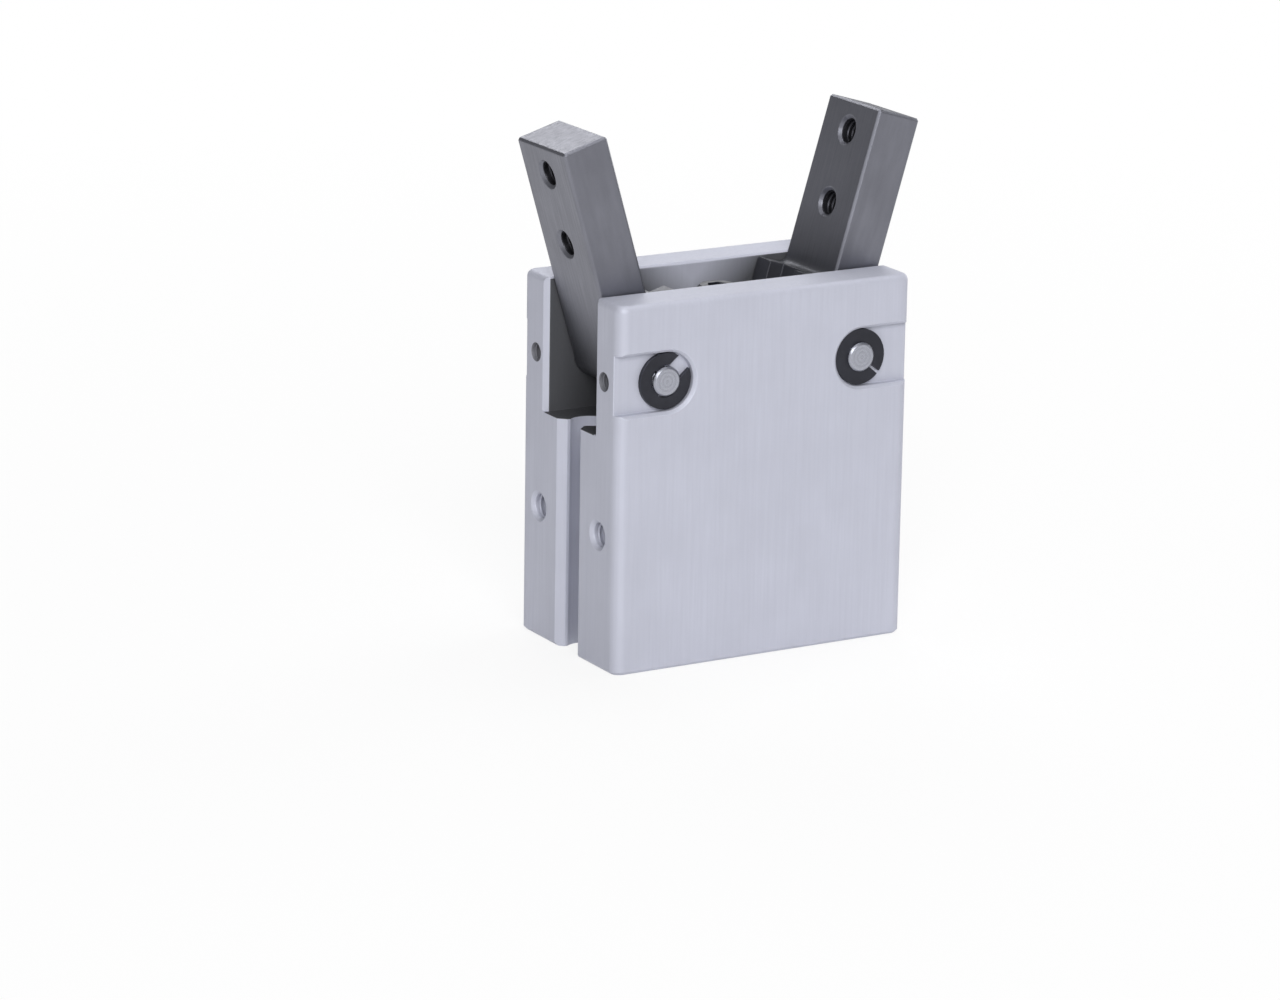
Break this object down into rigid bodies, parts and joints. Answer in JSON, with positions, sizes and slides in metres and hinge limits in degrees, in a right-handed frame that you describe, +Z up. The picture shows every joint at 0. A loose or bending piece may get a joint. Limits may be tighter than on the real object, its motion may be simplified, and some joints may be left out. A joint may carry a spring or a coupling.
{
  "type": "pneumatic angular gripper",
  "caption": "Pneumatic angular gripper: a block cylinder whose piston swings bell-crank fingers on cross shafts, with tapped finger holes, side mounts and switch grooves.",
  "frame": {"origin": "centre of the lower end face of the body, on the piston axis", "axes": "+Z up along the piston axis towards the finger tips, X the opening direction of the fingers, Y along the pivot shafts, with the front face towards -Y"},
  "size_m": [0.0546, 0.026, 0.0711],
  "materials": {
    "housing": "satin clear anodised",
    "cap": "turned, anodised",
    "piston_alloy": "turned",
    "finger_steel": "hardened, matt ground",
    "ground_steel": "ground",
    "plated_steel": "plated",
    "black_steel": "black oxide",
    "bronze": "sintered",
    "seal_rubber": "moulded",
    "bumper": "moulded urethane",
    "magnet": "bonded magnet"
  },
  "bodies": {
    "housing": {"body": "housing", "end_cap": "cap", "end_cap_seal": "seal_rubber", "end_cap_snap_ring": "black_steel", "lower_bumper": "bumper", "upper_bumper": "bumper", "rod_seal": "seal_rubber", "left_pivot_shaft": "ground_steel", "left_front_e_ring": "black_steel", "left_front_set_screw": "black_steel", "left_back_e_ring": "black_steel", "left_back_set_screw": "black_steel", "right_pivot_shaft": "ground_steel", "right_front_e_ring": "black_steel", "right_front_set_screw": "black_steel", "right_back_e_ring": "black_steel", "right_back_set_screw": "black_steel"},
    "piston_assembly": {"piston": "piston_alloy", "piston_seal": "seal_rubber", "magnet_ring": "magnet", "piston_rod": "ground_steel", "piston_nut": "plated_steel", "joint": "plated_steel", "joint_screw": "black_steel"},
    "left_finger": {"left_finger": "finger_steel", "left_pivot_bush": "bronze", "left_drive_pin": "ground_steel"},
    "right_finger": {"right_finger": "finger_steel", "right_pivot_bush": "bronze", "right_drive_pin": "ground_steel"}
  },
  "joints": [
    {"name": "piston_slide", "type": "slide", "parent": "housing", "child": "piston_assembly", "axis": [0, 0, -1], "range_m": [0, 0.00373]},
    {"name": "left_finger_pivot", "type": "hinge", "parent": "housing", "child": "left_finger", "pos_m": [-0.015, 0, 0.03928], "axis": [0, 1, 0], "range_deg": [0, 21.5]},
    {"name": "right_finger_pivot", "type": "hinge", "parent": "housing", "child": "right_finger", "pos_m": [0.015, 0, 0.03928], "axis": [0, -1, 0], "range_deg": [0, 21.5]}
  ],
  "couplings": [
    {"joint": "left_finger_pivot", "follows": "piston_slide", "rad_per_m": 100.58},
    {"joint": "right_finger_pivot", "follows": "piston_slide", "rad_per_m": 100.58}
  ]
}
